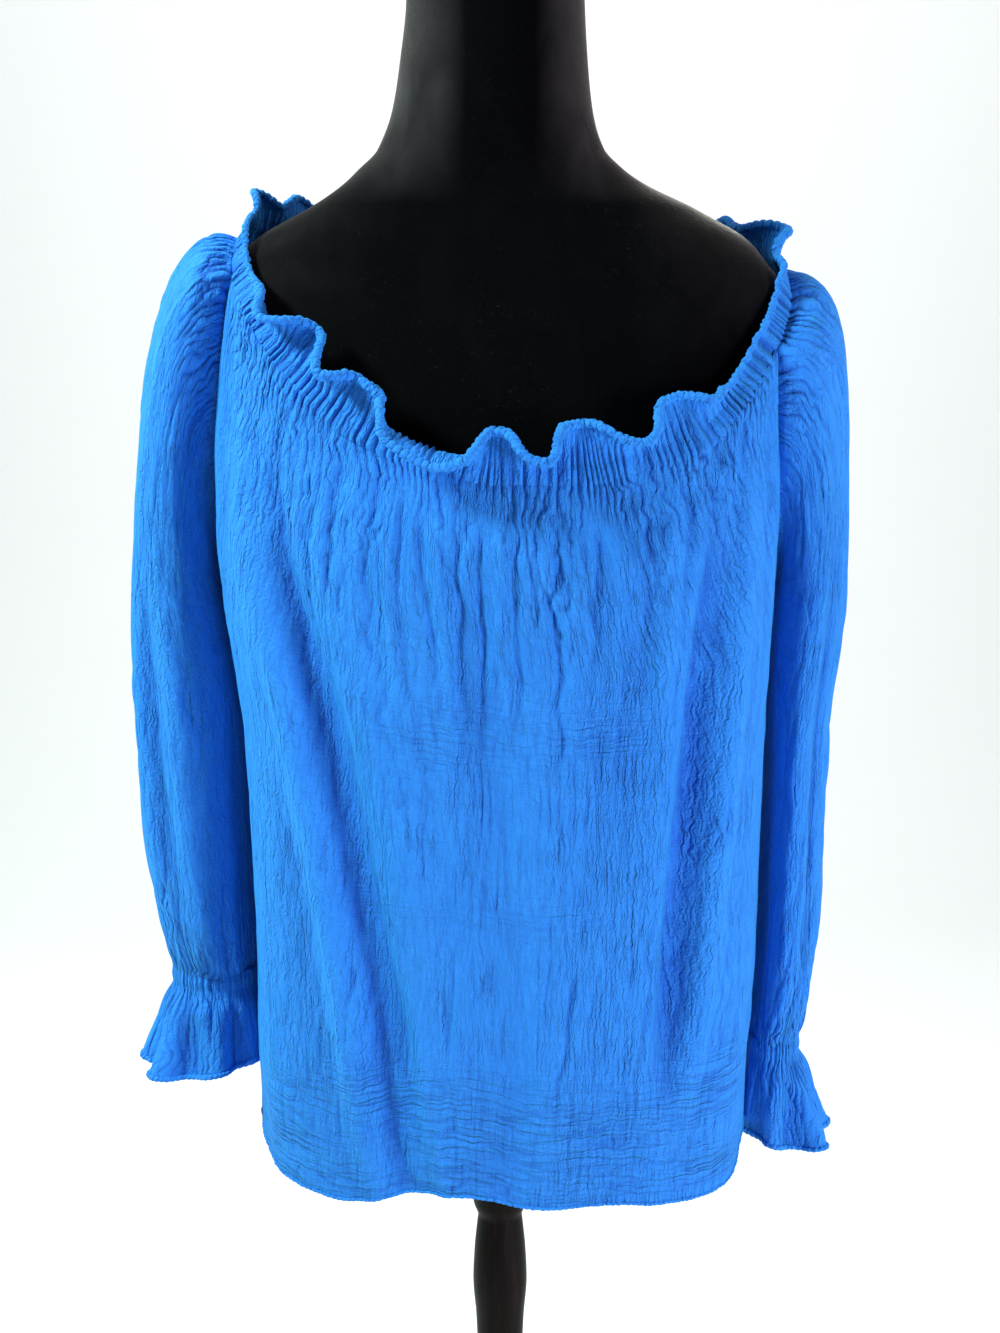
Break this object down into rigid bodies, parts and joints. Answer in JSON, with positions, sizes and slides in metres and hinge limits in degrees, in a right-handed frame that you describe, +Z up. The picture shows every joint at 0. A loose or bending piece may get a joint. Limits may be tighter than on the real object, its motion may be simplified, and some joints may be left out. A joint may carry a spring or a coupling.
{
  "type": "peasant blouse on limbless dress form",
  "caption": "Off-shoulder peasant blouse of crinkled cotton gauze with a frilled elastic neck and flounced cuffs, worn by a limbless velvet dress form on a turned wooden stand.",
  "frame": {"origin": "centre of the base's underside, on the surface it stands on", "axes": "+Z up the stand and the form, -Y out of the blouse's front, +X to the viewer's right as the front is looked at"},
  "size_m": [0.5219, 0.32, 1.452],
  "materials": {
    "gauze": "matt crinkled double cotton gauze, bright azure blue",
    "velvet": "short-pile black velvet with a soft edge sheen",
    "wood": "turned wood in a satin espresso-black stain"
  },
  "bodies": {
    "root": {"front_panel": "gauze", "back_panel": "gauze", "sleeve_left": "gauze", "sleeve_right": "gauze", "neck_casing": "gauze", "neck_frill": "gauze", "cuff_band_left": "gauze", "cuff_band_right": "gauze", "cuff_flounce_left": "gauze", "cuff_flounce_right": "gauze", "torso": "velvet", "stand_pole": "wood", "stand_base": "wood"}
  },
  "joints": []
}
